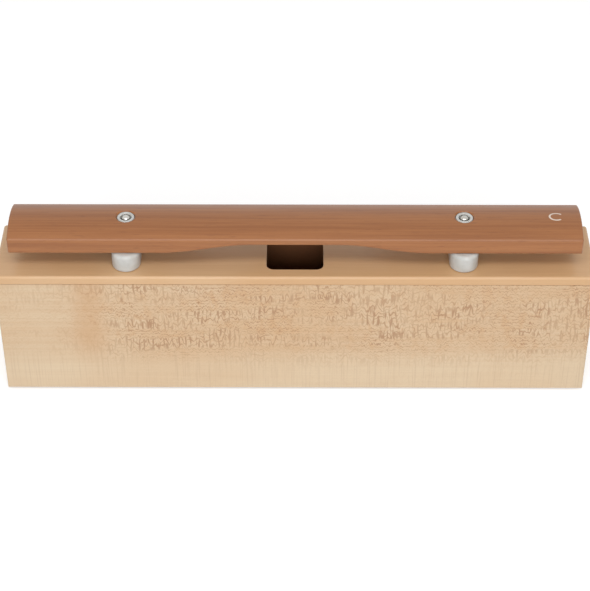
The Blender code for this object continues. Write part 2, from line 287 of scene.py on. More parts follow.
class Effects:
    """The shared effects, each a node group that is built once."""

    def __init__(self) -> None:
        """Builds all the groups."""
        self.grain = self._grain_streaks()
        self.fleck = self._ray_fleck()
        self.pores = self._open_pores()
        self.handling = self._handling()

    @staticmethod
    def _grain_streaks() -> bpy.types.NodeTree:
        """Long soft streaks along X, from broad bands down to single fibres.

        Returns:
            The node group.
        """
        waver_scale = 7.0
        fibre_fineness = (2.5, 5.0, 5.0)
        band_range = (0.30, 0.70)
        fibre_range = (0.28, 0.72)
        sizes = {"Vector": VECTOR, "Streak Length": 0.12, "Streak Width": 0.004, "Waver": 0.002}
        tree, g, given, result = new_group("grain_streaks", SHADER, sizes, ("Bands", "Fibres"))
        drift = g.times(g.swing(given["Vector"], waver_scale, detail=2.0), given["Waver"])
        x, y, z = g.axes(given["Vector"])
        width = given["Streak Width"]
        moved = (x, g.math("ADD", y, drift), g.math("ADD", z, drift))
        place = g.squeeze(moved, (given["Streak Length"], width, width))
        bands = g.noise(place, 1.0, detail=3.0, rough=0.55)
        fibres = g.noise(g.scale(place, fibre_fineness), 1.0, detail=3.0, rough=0.65)
        shown = {"Bands": g.spread(bands, *band_range), "Fibres": g.spread(fibres, *fibre_range)}
        g.feed(result, shown)
        return tree

    @staticmethod
    def _ray_fleck() -> bpy.types.NodeTree:
        """Rays cut along their length: narrow arches stacked in columns, each with a dark line.

        Returns:
            The node group.
        """
        lobe_stretch = 0.7
        lobe_swing = 2.0
        shake_scale = 2.3
        shake_depth = 0.5
        shake_slice = 5.0
        tone_stretch = 0.6
        tone_step = 7.3
        tone_slice = 2.0
        tone_range = (0.30, 0.62)
        faintest_line = 0.35
        sizes = {
            "Vector": VECTOR,
            "Arch Width": 0.0036,
            "Arch Height": 0.0085,
            "Arch Step": 0.0046,
            "Line Width": 0.24,
        }
        tree, g, given, result = new_group("ray_fleck", SHADER, sizes, ("Lines", "Cells", "Rims"))
        x, _, z = g.axes(given["Vector"])
        across = g.math("DIVIDE", x, given["Arch Width"])
        up = g.math("DIVIDE", z, given["Arch Height"])
        lobes = g.swing(g.join(across, g.times(up, lobe_stretch)), 1.0, detail=1.0, rough=0.4)
        sway = g.times(lobes, given["Arch Height"], lobe_swing)
        phase = g.math("DIVIDE", g.math("ADD", z, sway), given["Arch Step"])
        shake = g.swing(g.join(across, up, shake_slice), shake_scale, detail=2.0)
        phase = g.math("ADD", phase, g.times(shake, shake_depth))
        distance = g.math("PINGPONG", phase, 0.5)
        level = g.times(g.math("ROUND", phase), tone_step)
        tone = g.noise(g.join(g.times(across, tone_stretch), level, tone_slice), 1.0, detail=1.0)
        width = given["Line Width"]
        line = g.spread(distance, 0.0, width, 1.0, 0.0, eased=False)
        rim = g.spread(distance, width, g.times(width, 2.0), 1.0, 0.0, eased=False)
        strength = g.spread(tone, *tone_range, to_low=faintest_line)
        rims = g.times(rim, g.rest(line))
        g.feed(result, {"Lines": g.times(line, strength), "Cells": tone, "Rims": rims})
        return tree

    @staticmethod
    def _open_pores() -> bpy.types.NodeTree:
        """Short dark dashes along X where the lacquer sinks into open pores.

        Returns:
            The node group.
        """
        highest_start = 0.86
        share_to_start = 0.5
        edge = 0.12
        sizes = {"Vector": VECTOR, "Dash Length": 0.006, "Dash Width": 0.0005, "Share": 0.3}
        tree, g, given, result = new_group("open_pores", SHADER, sizes, ("Pores",))
        width = given["Dash Width"]
        place = g.squeeze(g.axes(given["Vector"]), (given["Dash Length"], width, width))
        dashes = g.noise(place, 1.0, detail=1.0, rough=0.4)
        start = g.math("SUBTRACT", highest_start, g.times(given["Share"], share_to_start))
        pores = g.spread(dashes, start, g.math("ADD", start, edge), eased=False)
        g.feed(result, {"Pores": pores})
        return tree

    @staticmethod
    def _handling() -> bpy.types.NodeTree:
        """Faint smudges that shift a finish's roughness, and fine dust as a height.

        Returns:
            The node group.
        """
        smudge_scale = 60.0
        dust_scale = 900.0
        sizes = {"Vector": VECTOR, "Roughness": 0.4, "Amount": 0.1}
        tree, g, given, result = new_group("handling", SHADER, sizes, ("Roughness", "Height"))
        smudge = g.swing(given["Vector"], smudge_scale, detail=4.0, rough=0.6)
        shifted = g.math("ADD", given["Roughness"], g.times(smudge, given["Amount"]))
        g.feed(result, {"Roughness": shifted, "Height": g.noise(given["Vector"], dust_scale, detail=2.0)})
        return tree


# Finishes


@dataclass(frozen=True)
class Finish:
    """What every finish has: a base roughness, the marks of handling and a fine relief."""

    name: str
    roughness: float = 0.4
    smudges: float = 0.1
    bump: float = 0.00002
    dust_under_relief: float = 0.25

    def build(self, effects: Effects) -> bpy.types.Material:
        """Makes the material.

        Args:
            effects: The shared groups.

        Returns:
            The material.
        """
        material = bpy.data.materials.new(self.name)
        material.use_nodes = True
        g = Graph(material.node_tree)
        place = g.add("ShaderNodeTexCoord").outputs["Object"]
        values, relief = self.pattern(g, place, effects)
        marks = {"Vector": place, "Roughness": self.roughness, "Amount": self.smudges}
        worn = g.group(effects.handling, marks)
        height = worn.outputs["Height"]
        if relief is not None:
            height = g.math("ADD", g.times(height, self.dust_under_relief), relief)
        bump = g.add("ShaderNodeBump", {"Strength": 1.0, "Distance": self.bump, "Height": height})
        values |= {"Roughness": worn.outputs["Roughness"], "Normal": bump.outputs["Normal"]}
        g.feed(material.node_tree.nodes["Principled BSDF"], values)
        return material

    def pattern(self, g: Graph, place: Socket, effects: Effects) -> tuple[dict, Value | None]:
        """What a finish adds of its own.

        Args:
            g: The material's graph.
            place: The Object coordinates.
            effects: The shared groups.

        Returns:
            The shader's inputs by name, and a relief from 0 to 1 or None.
        """
        raise NotImplementedError


@dataclass(frozen=True)
class Streaks:
    """Sizes of a wood's streaks: their length, their width and how far they waver."""

    length: float
    width: float
    waver: float

    def lay(self, g: Graph, place: Socket, effects: Effects) -> bpy.types.bpy_prop_collection:
        """Places the grain group and gives its outputs.

        Args:
            g: The material's graph.
            place: Coordinates with the fibres along X.
            effects: The shared groups.

        Returns:
            The group's outputs.
        """
        sizes = {"Streak Length": self.length, "Streak Width": self.width, "Waver": self.waver}
        return g.group(effects.grain, {"Vector": place, **sizes}).outputs


@dataclass(frozen=True)
class PaleWood(Finish):
    """Satin-lacquered pale hardwood, with painted shade darkening the faces inside the box."""

    grain: Grain = Grain.ALONG_X
    streaks: Streaks = Streaks(0.16, 0.0035, 0.006)
    base: Colour = screen(210, 181, 145)
    pale: Colour = screen(219, 201, 172)
    warm: Colour = screen(196, 152, 108)
    line: Colour = screen(152, 104, 64)
    # Painted shade: a dark colour for the faces inside the box, where shade falls.
    painted_shade: Colour = screen(126, 84, 56)
    cloud_scale: float = 14.0
    cloud_range: Range = (0.35, 0.65)
    cloud_share: float = 0.50
    band_share: float = 0.22
    fibre_share: float = 0.10
    fibre_relief: float = 0.3
    coat: float = 0.25
    coat_roughness: float = 0.22
    inside: Point = (0.1925, 0.0215, 0.0947)
    inside_from: float = 0.003

    def pattern(self, g: Graph, place: Socket, effects: Effects) -> tuple[dict, Value | None]:
        """The grain, then a board's figure, then painted shade on the faces inside the box.

        Args:
            g: The material's graph.
            place: The Object coordinates.
            effects: The shared groups.

        Returns:
            The shader's inputs by name, and the relief.
        """
        mapping = {"Vector": place, "Rotation": self.grain.value}
        fibre_place = g.add("ShaderNodeMapping", mapping).outputs[0]
        streaks = self.streaks.lay(g, fibre_place, effects)
        cloud = g.spread(g.noise(fibre_place, self.cloud_scale, detail=2.0), *self.cloud_range)
        grain = (
            (cloud, self.cloud_share, self.pale),
            (streaks["Bands"], self.band_share, self.warm),
            (streaks["Fibres"], self.fibre_share, self.line),
        )
        figure, cut = self.figure(g, place, effects)
        # Painted shade darkens the faces inside the box.
        shade_inside = ((self._within(g, place), 1.0, self.painted_shade),)
        colour = g.layer(self.base, grain + figure + shade_inside)
        relief = g.times(streaks["Fibres"], self.fibre_relief)
        if cut is not None:
            relief = g.math("ADD", relief, cut)
        lacquer = {"Coat Weight": self.coat, "Coat Roughness": self.coat_roughness}
        return {"Base Color": colour, **lacquer}, relief

    def figure(self, g: Graph, place: Socket, effects: Effects) -> tuple[tuple[Layer, ...], Value | None]:
        """The layers over the grain and their relief: none on a board that isn't quartered."""
        return (), None

    def _within(self, g: Graph, place: Socket) -> Socket:
        """A mask of the faces inside the box, where the shade is painted.

        Args:
            g: The material's graph.
            place: The Object coordinates.

        Returns:
            1 inside the box and 0 outside.
        """
        x, y, z = g.axes(place)
        far_x, far_y, lid = self.inside
        along = g.math("LESS_THAN", g.math("ABSOLUTE", x), far_x)
        across = g.math("LESS_THAN", g.math("ABSOLUTE", y), far_y)
        below = g.math("LESS_THAN", z, lid)
        above = g.math("GREATER_THAN", z, self.inside_from)
        return g.times(along, across, below, above)


@dataclass(frozen=True)
class QuarteredWood(PaleWood):
    """Pale hardwood cut on the quarter, with ray fleck that fades to the left and downwards."""

    ripple_width: float = 0.0017
    ripple_height: float = 0.0034
    ripple_step: float = 0.0027
    hair_size: tuple[float, float] = (0.0009, 0.05)
    hair_range: Range = (0.50, 0.68)
    hair_share: float = 0.30
    stripe_size: tuple[float, float] = (0.0015, 0.011)
    stripe_slice: float = 3.0
    stripe_range: Range = (0.50, 0.64)
    stripe_strength: float = 0.8
    rows_per_metre: Point = (9.0, 0.0, 62.0)
    row_edge: Range = (0.47, 0.55)
    fades_over_x: Range = (-0.165, -0.105)
    fades_over_z: Range = (0.018, 0.046)
    faintest_left: float = 0.25
    faintest_low: float = 0.16
    patch_scale: float = 30.0
    patch_range: Range = (0.34, 0.58)
    patch_faintest: float = 0.55
    tint_share: float = 0.22
    cell_range: Range = (0.45, 0.68)
    cell_share: float = 0.42
    rim_share: float = 0.40
    line_share: float = 0.85
    line_depth: float = -0.3
    warm_patch_from_middle: float = 0.139
    warm_patch_reach: Range = (0.002, 0.016)
    warm_patch_share: float = 0.40
    low_share: float = 0.45

    def figure(self, g: Graph, place: Socket, effects: Effects) -> tuple[tuple[Layer, ...], Value | None]:
        """The ray fleck: tall arches in rows, fine ripples between them, and hairs low down.

        Args:
            g: The material's graph.
            place: The Object coordinates.
            effects: The shared groups.

        Returns:
            The layers, and the relief of the lines.
        """
        x, _, z = g.axes(place)
        high = g.spread(z, *self.fades_over_z, to_low=self.faintest_low)
        low = g.rest(high)
        shown = self._shown(g, place, x, high)
        rows = g.noise(g.scale(place, self.rows_per_metre), 1.0, detail=2.0)
        in_ripple = g.spread(rows, *self.row_edge)
        in_rows = g.rest(in_ripple)
        tall = g.group(effects.fleck, {"Vector": place}).outputs
        small = {"Arch Width": self.ripple_width, "Arch Height": self.ripple_height}
        small |= {"Arch Step": self.ripple_step}
        ripple = g.group(effects.fleck, {"Vector": place, **small}).outputs
        arches = g.times(tall["Lines"], in_rows)
        lines = g.math("ADD", arches, g.times(ripple["Lines"], in_ripple))
        stripe_place = g.squeeze((x, z, self.stripe_slice), (*self.stripe_size, 1.0))
        stripes = g.spread(g.noise(stripe_place, 1.0, detail=1.0), *self.stripe_range)
        lines = g.math("MAXIMUM", lines, g.times(stripes, in_rows, self.stripe_strength))
        cells = g.spread(tall["Cells"], *self.cell_range)
        rims = g.times(tall["Rims"], in_rows)
        hair_place = g.squeeze((x, z), self.hair_size)
        hairs = g.spread(g.noise(hair_place, 1.0, detail=2.0), *self.hair_range)
        from_patch = g.math("ABSOLUTE", g.math("ADD", x, self.warm_patch_from_middle))
        patch = g.spread(from_patch, *self.warm_patch_reach, 1.0, 0.0)
        layers = (
            (shown, self.tint_share, self.warm),
            (g.times(cells, shown), self.cell_share, self.warm),
            (g.times(rims, shown), self.rim_share, self.pale),
            (g.times(lines, shown), self.line_share, self.line),
            (g.times(hairs, low), self.hair_share, self.line),
            (g.times(patch, high), self.warm_patch_share, self.warm),
            (low, self.low_share, self.pale),
        )
        return layers, g.times(lines, self.line_depth)

    def _shown(self, g: Graph, place: Socket, x: Socket, high: Socket) -> Socket:
        """How strongly the fleck shows.

        Args:
            g: The material's graph.
            place: The Object coordinates.
            x: Their first part.
            high: The share that the height gives.

        Returns:
            The share, from 0 to 1.
        """
        right = g.spread(x, *self.fades_over_x, to_low=self.faintest_left)
        cloud = g.noise(place, self.patch_scale, detail=2.0)
        patchy = g.spread(cloud, *self.patch_range, to_low=self.patch_faintest)
        return g.times(right, high, patchy)


@dataclass(frozen=True)
class PitchLetter:
    """A small plain C on the crown near the right end, open towards that end."""

    at_x: float = 0.1735
    radius: float = 0.0036
    stroke: float = 0.0010
    stretch: float = 1.25
    softness: float = 0.2
    opening_shift: float = 0.0005
    opening_slope: float = 0.9
    above: float = 0.122

    def mask(self, g: Graph, place: Socket) -> Socket:
        """Where the letter is.

        Args:
            g: The material's graph.
            place: The Object coordinates.

        Returns:
            1 inside its stroke and 0 elsewhere.
        """
        x, y, z = g.axes(place)
        across = g.math("DIVIDE", g.math("SUBTRACT", x, self.at_x), self.stretch)
        reach = g.math("SQRT", g.math("ADD", g.times(across, across), g.times(y, y)))
        off = g.math("ABSOLUTE", g.math("SUBTRACT", reach, self.radius))
        half = self.stroke / 2
        soft = half * self.softness
        ring = g.spread(off, half - soft, half + soft, 1.0, 0.0)
        beside = g.math("ABSOLUTE", g.math("ADD", y, self.opening_shift))
        wedge = g.math("SUBTRACT", across, g.times(beside, self.opening_slope))
        closed = g.math("LESS_THAN", wedge, 0.0)
        return g.times(ring, closed, g.math("GREATER_THAN", z, self.above))


@dataclass(frozen=True)
class BarWood(Finish):
    """Satin-lacquered reddish-brown hardwood with fine straight streaks and open pores."""

    base: Colour = screen(160, 103, 60)
    dark: Colour = screen(126, 74, 40)
    light: Colour = screen(184, 126, 78)
    pore: Colour = screen(104, 62, 40)
    ink: Colour = screen(232, 218, 204)
    broad: Streaks = Streaks(0.35, 0.006, 0.004)
    fine: Streaks = Streaks(0.09, 0.0016, 0.003)
    pore_length: float = 0.009
    pore_width: float = 0.0006
    pore_count: float = 0.42
    pore_depth: float = -0.8
    broad_share: float = 0.55
    fine_share: float = 0.35
    fibre_share: float = 0.22
    pore_share: float = 0.45
    ink_share: float = 0.85
    coat: float = 0.15
    coat_roughness: float = 0.20
    specular: float = 0.38
    letter: PitchLetter = PitchLetter()

    def pattern(self, g: Graph, place: Socket, effects: Effects) -> tuple[dict, Value | None]:
        """Broad and fine streaks, open pores and the letter.

        Args:
            g: The material's graph.
            place: The Object coordinates.
            effects: The shared groups.

        Returns:
            The shader's inputs by name, and the relief of the pores.
        """
        broad = self.broad.lay(g, place, effects)
        fine = self.fine.lay(g, place, effects)
        dashes = {"Dash Length": self.pore_length, "Dash Width": self.pore_width}
        dashes |= {"Vector": place, "Share": self.pore_count}
        pores = g.group(effects.pores, dashes).outputs["Pores"]
        layers = (
            (broad["Bands"], self.broad_share, self.dark),
            (fine["Bands"], self.fine_share, self.light),
            (fine["Fibres"], self.fibre_share, self.dark),
            (pores, self.pore_share, self.pore),
            (self.letter.mask(g, place), self.ink_share, self.ink),
        )
        values = {"Base Color": g.layer(self.base, layers), "Specular IOR Level": self.specular}
        values |= {"Coat Weight": self.coat, "Coat Roughness": self.coat_roughness}
        return values, g.times(pores, self.pore_depth)


@dataclass(frozen=True)
class Silicone(Finish):
    """Milky silicone that lets a little light through."""

    colour: Colour = screen(200, 200, 197)
    shade: Colour = screen(188, 187, 182)
    cloud_scale: float = 160.0
    cloud_range: Range = (0.30, 0.70)
    glow: float = 0.5
    glow_depth: float = 0.003
    glow_tint: Point = (1.0, 0.9, 0.8)

    def pattern(self, g: Graph, place: Socket, effects: Effects) -> tuple[dict, Value | None]:
        """A faintly clouded colour with light under the surface.

        Args:
            g: The material's graph.
            place: The Object coordinates.
            effects: The shared groups, not used here.

        Returns:
            The shader's inputs by name, and no relief.
        """
        cloud = g.spread(g.noise(place, self.cloud_scale), *self.cloud_range)
        values = {"Base Color": g.mix(cloud, self.colour, self.shade), "Subsurface Weight": self.glow}
        values |= {"Subsurface Radius": self.glow_tint, "Subsurface Scale": self.glow_depth}
        return values, None


@dataclass(frozen=True)
class Plain(Finish):
    """A finish with a faintly clouded colour: plated metal or rubber."""

    colour: Colour = screen(205, 202, 196)
    other: Colour = screen(190, 186, 178)
    metallic: float = 0.0
    cloud_scale: float = 200.0
    cloud_range: Range = (0.35, 0.65)

    def pattern(self, g: Graph, place: Socket, effects: Effects) -> tuple[dict, Value | None]:
        """A faintly clouded colour.

        Args:
            g: The material's graph.
            place: The Object coordinates.
            effects: The shared groups, not used here.

        Returns:
            The shader's inputs by name, and no relief.
        """
        cloud = g.spread(g.noise(place, self.cloud_scale), *self.cloud_range)
        colour = g.mix(cloud, self.colour, self.other)
        return {"Base Color": colour, "Metallic": self.metallic}, None


# Meshes


def span(node: str) -> tuple[Vector, Vector, Vector]:
    """The lowest corner, highest corner and middle of a CAD node."""
    low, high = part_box(node)
    return low, high, (low + high) / 2


def node_radius(node: str) -> float:
    """The radius of an upright round CAD node."""
    low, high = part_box(node)
    return (high.x - low.x) / 2


def mesh_from(bm: bmesh.types.BMesh, name: str) -> bpy.types.Mesh:
    """Turns a bmesh into a mesh whose faces point outwards.

    Args:
        bm: The bmesh, which is freed.
        name: The mesh's name.

    Returns:
        The mesh.
    """
    bmesh.ops.recalc_face_normals(bm, faces=bm.faces)
    mesh = bpy.data.meshes.new(name)
    bm.to_mesh(mesh)
    bm.free()
    return mesh


def new_object(name: str, mesh: bpy.types.Mesh) -> bpy.types.Object:
    """Puts a mesh in the scene at the origin.

    Args:
        name: The object's name.
        mesh: Its mesh.

    Returns:
        The object.
    """
    obj = bpy.data.objects.new(name, mesh)
    bpy.context.scene.collection.objects.link(obj)
    return obj


def settle(obj: bpy.types.Object) -> None:
    """Makes the evaluated shape the object's own plain mesh and shades it smooth by angle.

    Args:
        obj: The object, whose modifiers are removed.
    """
    bpy.context.view_layer.update()
    evaluated = obj.evaluated_get(bpy.context.evaluated_depsgraph_get())
    mesh = bpy.data.meshes.new_from_object(evaluated)
    obj.modifiers.clear()
    obj.data = mesh
    mesh.shade_smooth()
    mesh.set_sharp_from_angle(angle=SMOOTH_BELOW)


def cut(obj: bpy.types.Object, cutters: list[bpy.types.Object]) -> None:
    """Cuts shapes out of a piece and removes them.

    Args:
        obj: The piece.
        cutters: The shapes.
    """
    for cutter in cutters:
        boolean = obj.modifiers.new(cutter.name, "BOOLEAN")
        boolean.object = cutter
        boolean.solver = "EXACT"
    settle(obj)
    for cutter in cutters:
        bpy.data.objects.remove(cutter)


def place_piece(
    obj: bpy.types.Object, material: bpy.types.Material, body: str, slot: str, *nodes: str
) -> None:
    """Dresses a finished piece and sets it on its body.

    Args:
        obj: The piece, with its place in its mesh.
        material: Its finish.
        body: The body that it rides on.
        slot: The record's material slot, not used.
        *nodes: The CAD nodes that it stands for.
    """
    obj.data.materials.clear()
    obj.data.materials.append(material)
    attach(obj, body)
    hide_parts(*nodes)
    log.info("%s: %d faces, stands for %s", obj.name, len(obj.data.polygons), ", ".join(nodes))


def turned(name: str, profile: Outline, closed: bool = False, steps: int = 72) -> bpy.types.Mesh:
    """Turns a profile about Z.

    Args:
        name: The mesh's name.
        profile: Points of radius and height.
        closed: Whether the profile is a ring.
        steps: Steps in a full turn.

    Returns:
        The turned mesh.
    """
    bm = bmesh.new()
    verts = [bm.verts.new((radius, 0, height)) for radius, height in profile]
    following = verts[1:] + ([verts[0]] if closed else [])
    edges = [bm.edges.new(pair) for pair in zip(verts, following)]
    whole = {"cent": (0, 0, 0), "axis": (0, 0, 1), "angle": 2 * math.pi, "steps": steps}
    bmesh.ops.spin(bm, geom=verts + edges, use_merge=True, use_duplicate=False, **whole)
    bmesh.ops.remove_doubles(bm, verts=bm.verts, dist=WELD)
    return mesh_from(bm, name)


def turned_cutter(name: str, profile: Outline, at: Vector, steps: int = 72) -> bpy.types.Object:
    """A turned shape that cuts round an upright axis.

    Args:
        name: The shape's name.
        profile: Points of radius and height, from the axis back to the axis.
        at: A point on the upright axis.
        steps: Steps in a full turn.

    Returns:
        The shape.
    """
    mesh = turned(name, profile, steps=steps)
    mesh.transform(Matrix.Translation((at.x, at.y, 0)))
    return new_object(name, mesh)


def bore_profile(radius: float, low: float, high: float) -> Outline:
    """Profile of a plain bore that runs past both faces."""
    start, end = low - CUT_PAST, high + CUT_PAST
    return [(0, start), (radius, start), (radius, end), (0, end)]


def arc(x: float, z: float, radius: float, start: float, end: float, steps: int = 8) -> Outline:
    """Points on an arc in a profile's plane.

    Args:
        x: The centre's first coordinate.
        z: The centre's second coordinate.
        radius: The arc's radius.
        start: Where it starts, in degrees.
        end: Where it ends, in degrees.
        steps: Steps between its ends.

    Returns:
        The points.
    """
    angles = [math.radians(start + (end - start) * i / steps) for i in range(steps + 1)]
    return [(x + radius * math.cos(a), z + radius * math.sin(a)) for a in angles]


def rounded_rectangle(half_x: float, half_y: float, radius: float, steps: int) -> Outline:
    """Outline of a rectangle with round corners, anticlockwise.

    Args:
        half_x: Half its size along X.
        half_y: Half its size along Y.
        radius: Its corners' radius.
        steps: Steps round each corner.

    Returns:
        The outline's points.
    """
    points: Outline = []
    for quarter in range(4):
        side_x = 1 if quarter in (0, 3) else -1
        side_y = 1 if quarter < 2 else -1
        centre_x, centre_y = side_x * (half_x - radius), side_y * (half_y - radius)
        points += arc(centre_x, centre_y, radius, quarter * 90, quarter * 90 + 90, steps)
    return [p for i, p in enumerate(points) if math.dist(p, points[i - 1]) > WELD]


def stacked(name: str, outlines: Iterable[tuple[float, Outline]]) -> bpy.types.Mesh:
    """Joins outlines at rising heights into one closed mesh.

    Args:
        name: The mesh's name.
        outlines: Height and outline of each level, all with the same number of points.

    Returns:
        The mesh.
    """
    bm = bmesh.new()
    loops = [[bm.verts.new((x, y, z)) for x, y in outline] for z, outline in outlines]
    for lower, upper in zip(loops, loops[1:]):
        for i in range(len(lower)):
            j = (i + 1) % len(lower)
            bm.faces.new((lower[i], lower[j], upper[j], upper[i]))
    bm.faces.new(reversed(loops[0]))
    bm.faces.new(loops[-1])
    return mesh_from(bm, name)


def run_nodes(obj: bpy.types.Object, tree: bpy.types.NodeTree, values: dict[str, object]) -> None:
    """Shapes an object by geometry nodes and makes the result its plain mesh.

    Args:
        obj: The object.
        tree: The node tree, whose inputs are set by identifier.
        values: Values by input name.
    """
    modifier = obj.modifiers.new(tree.name, "NODES")
    modifier.node_group = tree
    for item in tree.interface.items_tree:
        if item.item_type == "SOCKET" and item.in_out == "INPUT" and item.name in values:
            modifier[item.identifier] = values[item.name]
    settle(obj)


class StationTree:
    """Geometry nodes that stand a copy of one piece at each end of a row or corner of a rectangle."""

    def __init__(self) -> None:
        """Builds the tree."""
        sizes = {
            "Piece": "NodeSocketObject",
            "Spacing X": 0.1,
            "Spacing Y": 0.0,
            "Count Y": 1,
            "Finish": "NodeSocketMaterial",
        }
        made = new_group("stations", GEOMETRY, sizes, ("Geometry",), "NodeSocketGeometry")
        self.tree, g, given, result = made
        extent = {"Size X": given["Spacing X"], "Size Y": given["Spacing Y"]}
        counts = {"Vertices X": 2, "Vertices Y": given["Count Y"]}
        grid = g.add("GeometryNodeMeshGrid", {**extent, **counts})
        points = g.add("GeometryNodeMeshToPoints", {"Mesh": grid.outputs["Mesh"]})
        piece = g.add("GeometryNodeObjectInfo", {"Object": given["Piece"]})
        copies = {"Points": points.outputs[0], "Instance": piece.outputs["Geometry"]}
        placed = g.add("GeometryNodeInstanceOnPoints", copies)
        g.feed(result, {0: g.dress(placed.outputs[0], given["Finish"])})

    def repeat(
        self, name: str, mesh: bpy.types.Mesh, material: bpy.types.Material, x: float, y: float = 0.0
    ) -> bpy.types.Object:
        """Repeats a piece at its stations.

        Args:
            name: Name of the new object.
            mesh: The piece, centred on X and Y.
            material: Its finish.
            x: Distance between stations along X.
            y: Distance between stations along Y, or 0 for one row.

        Returns:
            One object with all the copies in its mesh.
        """
        piece = new_object(name + "_one", mesh)
        obj = new_object(name, bpy.data.meshes.new(name))
        values = {"Piece": piece, "Spacing X": x, "Spacing Y": y, "Count Y": 2 if y else 1}
        run_nodes(obj, self.tree, {**values, "Finish": material})
        bpy.data.objects.remove(piece)
        return obj


# The object's sub-assemblies


@dataclass
class ToneBar:
    """The crowned, undercut bar with its two bored holes."""

    arch_length: float = 0.180
    arch_flat: float = 0.056
    arch_depth: float = 0.0069
    crown: float = 0.005
    arris: float = 0.0009
    arris_above: float = math.radians(40)
    arris_segments: int = 4
    hole_chamfer: float = 0.0010
    points_along: int = 191
    points_across: int = 41
    points_up: int = 4
    low: Vector = field(init=False)
    high: Vector = field(init=False)

    def __post_init__(self) -> None:
        """Reads the bar's place from the frame."""
        self.low, self.high, _ = span("tone_bar")

    def crown_radius(self) -> float:
        """Radius of the arc across the top."""
        half = self.high.y
        return (half**2 + self.crown**2) / (2 * self.crown)

    def section_tree(self) -> bpy.types.NodeTree:
        """Geometry nodes that shape a fine block into the bar by its two rules.

        Returns:
            The node tree.
        """
        names = ("Length", "Width", "Side", "Crown Radius", "Underside")
        names += ("Arch Length", "Arch Flat", "Arch Depth")
        sizes = {name: 0.1 for name in names}
        sizes["Finish"] = "NodeSocketMaterial"
        made = new_group("crowned_bar", GEOMETRY, sizes, ("Geometry",), "NodeSocketGeometry")
        tree, g, given, result = made
        points = {"Vertices X": self.points_along, "Vertices Y": self.points_across}
        points |= {"Vertices Z": self.points_up}
        size = g.join(given["Length"], given["Width"], given["Side"])
        block = g.add("GeometryNodeMeshCube", {"Size": size, **points})
        x, y, z = g.axes(g.add("GeometryNodeInputPosition").outputs[0])
        half = g.times(given["Width"], 0.5)
        at_edge = self._arc_rise(g, given["Crown Radius"], half)
        rise = g.math("SUBTRACT", self._arc_rise(g, given["Crown Radius"], y), at_edge)
        arch = self._arch(g, given, x)
        up = g.math("ADD", g.math("DIVIDE", z, given["Side"]), 0.5)
        height = g.math("ADD", g.times(rise, up), g.times(arch, g.rest(up)))
        height = g.math("ADD", height, g.times(up, given["Side"]))
        height = g.math("ADD", height, given["Underside"])
        moved = {"Geometry": block.outputs["Mesh"], "Position": g.join(x, y, height)}
        shaped = g.add("GeometryNodeSetPosition", moved)
        g.feed(result, {0: g.dress(shaped.outputs[0], given["Finish"])})
        return tree

    @staticmethod
    def _arc_rise(g: Graph, radius: Value, across: Value) -> Socket:
        """Height of an arc of this radius over its centre, at a distance across it."""
        squares = g.math("SUBTRACT", g.math("POWER", radius, 2.0), g.math("POWER", across, 2.0))
        return g.math("SQRT", squares)

    @staticmethod
    def _arch(g: Graph, given: dict[str, Socket], x: Socket) -> Socket:
        """Height of the undercut, level in the middle and eased out along a cosine.

        Args:
            g: The tree's graph.
            given: The tree's inputs.
            x: The place along the bar.

        Returns:
            The height over the bar's flat underside.
        """
        reach = g.times(g.math("SUBTRACT", given["Arch Length"], given["Arch Flat"]), 0.5)
        inward = g.math("SUBTRACT", g.times(given["Arch Length"], 0.5), g.math("ABSOLUTE", x))
        along = g.math("MAXIMUM", g.math("DIVIDE", inward, reach), 0.0)
        along = g.math("MINIMUM", along, 1.0)
        ease = g.rest(g.math("COSINE", g.times(along, math.pi)))
        return g.times(ease, 0.5, given["Arch Depth"])

    def build(self, wood: bpy.types.Material) -> None:
        """Makes the bar from its two rules, softens its arrises and bores its holes.

        Args:
            wood: The bar's finish.
        """
        obj = new_object("bar_wood", bpy.data.meshes.new("bar_wood"))
        values = {
            "Length": self.high.x - self.low.x,
            "Width": self.high.y - self.low.y,
            "Side": self.high.z - self.low.z - self.crown,
            "Crown Radius": self.crown_radius(),
            "Underside": self.low.z,
            "Arch Length": self.arch_length,
            "Arch Flat": self.arch_flat,
            "Arch Depth": self.arch_depth,
            "Finish": wood,
        }
        run_nodes(obj, self.section_tree(), values)
        arris = obj.modifiers.new("arris", "BEVEL")
        arris.limit_method = "ANGLE"
        arris.angle_limit = self.arris_above
        arris.width = self.arris
        arris.segments = self.arris_segments
        settle(obj)
        cut(obj, [self._hole_cutter(side) for side in SIDES])
        place_piece(obj, wood, BAR_BODY, "bar_wood", "tone_bar")

    def _hole_cutter(self, side: str) -> bpy.types.Object:
        """The shape of one hole with its countersink, round the bush's own axis.

        Args:
            side: The side that the hole is on.

        Returns:
            The shape.
        """
        radius = node_radius(side + "_bush") + RUNNING_GAP
        start, end = self.low.z - CUT_PAST, self.high.z + CUT_PAST
        wide = radius + self.hole_chamfer + CUT_PAST
        profile = [(0, start), (radius, start), (radius, self.high.z - self.hole_chamfer)]
        profile += [(wide, end), (0, end)]
        return turned_cutter("hole_" + side, profile, span(side + "_bush")[2])


